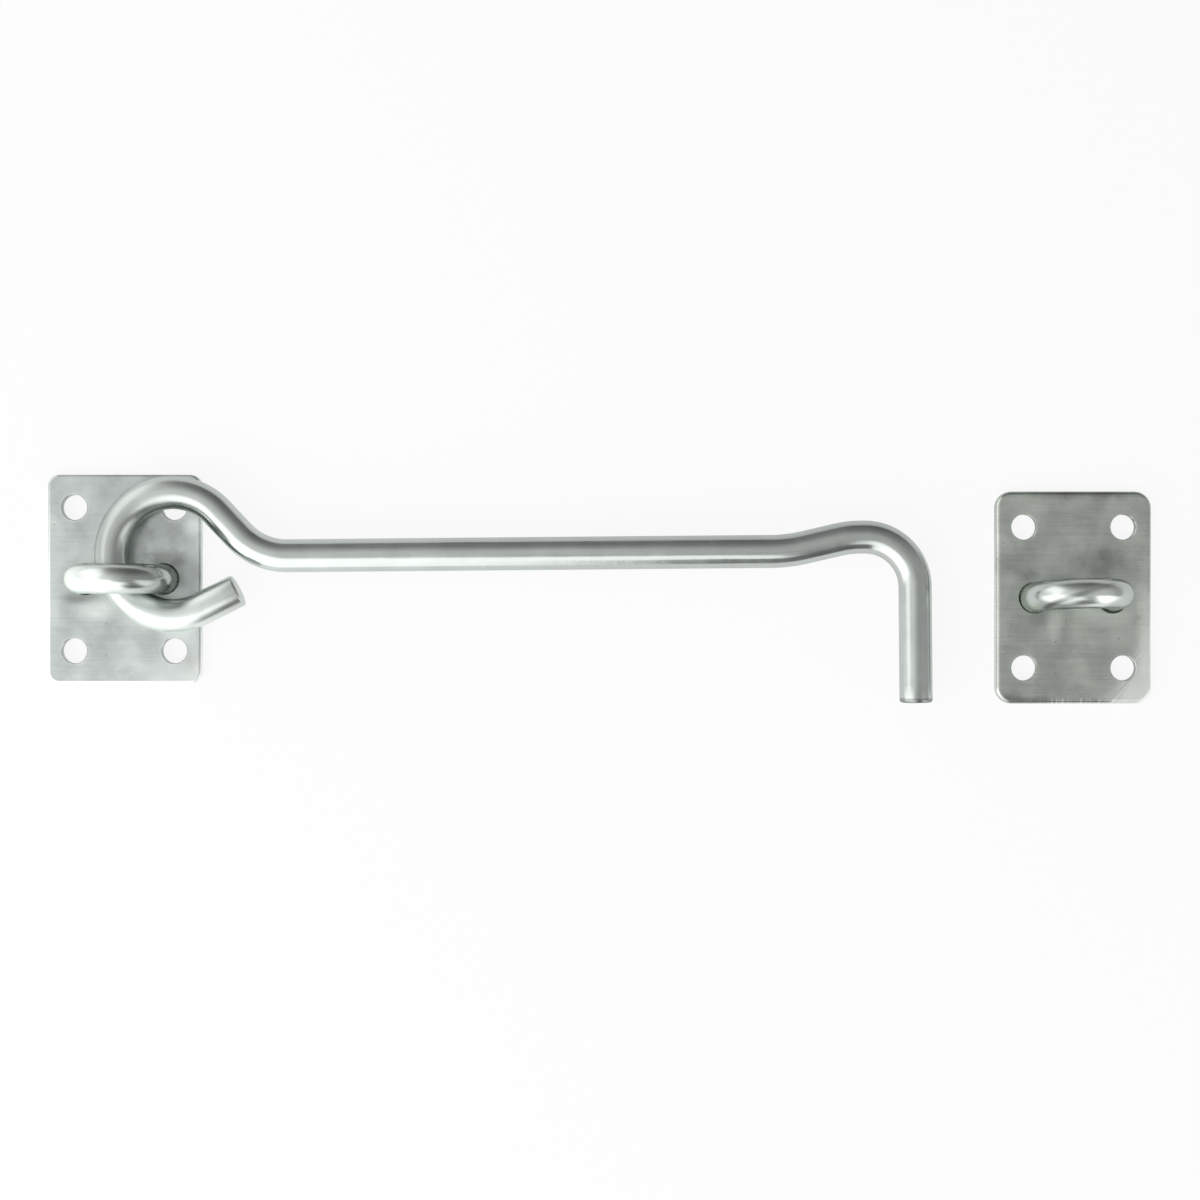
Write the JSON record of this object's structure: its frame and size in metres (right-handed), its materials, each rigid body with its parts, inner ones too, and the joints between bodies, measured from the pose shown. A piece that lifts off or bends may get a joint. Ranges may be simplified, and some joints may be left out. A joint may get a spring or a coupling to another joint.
{
  "type": "hook and eye latch",
  "caption": "Bent steel rod hook that swings in the eye of a screw-on plate, with a separate keeper plate whose eye takes the hook's prong.",
  "frame": {"origin": "centre of the hook plate's flat back face", "axes": "+X from the hook plate along the hook to the keeper plate, +Y up the plates, away from the way the prong points, +Z out of the plates' front faces, on the side of the eyes"},
  "size_m": [0.2692, 0.0559, 0.0221],
  "materials": {
    "hook_plate_steel": "satin stainless steel, lightly mottled, with fine brush lines",
    "hook_eye_steel": "drawn stainless bar, worn smooth",
    "hook_steel": "drawn stainless rod, half bright, with draw marks along it",
    "keeper_plate_steel": "satin stainless steel, lightly mottled, with fine brush lines and a few scratches",
    "keeper_eye_steel": "drawn stainless bar, worn smooth"
  },
  "bodies": {
    "hook_base": {"hook_plate": "hook_plate_steel", "hook_eye": "hook_eye_steel"},
    "hook": {"hook": "hook_steel"},
    "keeper": {"keeper_plate": "keeper_plate_steel", "keeper_eye": "keeper_eye_steel"}
  },
  "joints": [
    {"name": "hook_swing", "type": "hinge", "parent": "hook_base", "child": "hook", "pos_m": [0.0125, 0.00599, 0.0068], "axis": [0, 0, 1], "range_deg": [-105, 155]},
    {"name": "keeper_travel", "type": "slide", "parent": "hook_base", "child": "keeper", "axis": [1, 0, 0], "range_m": [-0.017, 0.06]}
  ]
}
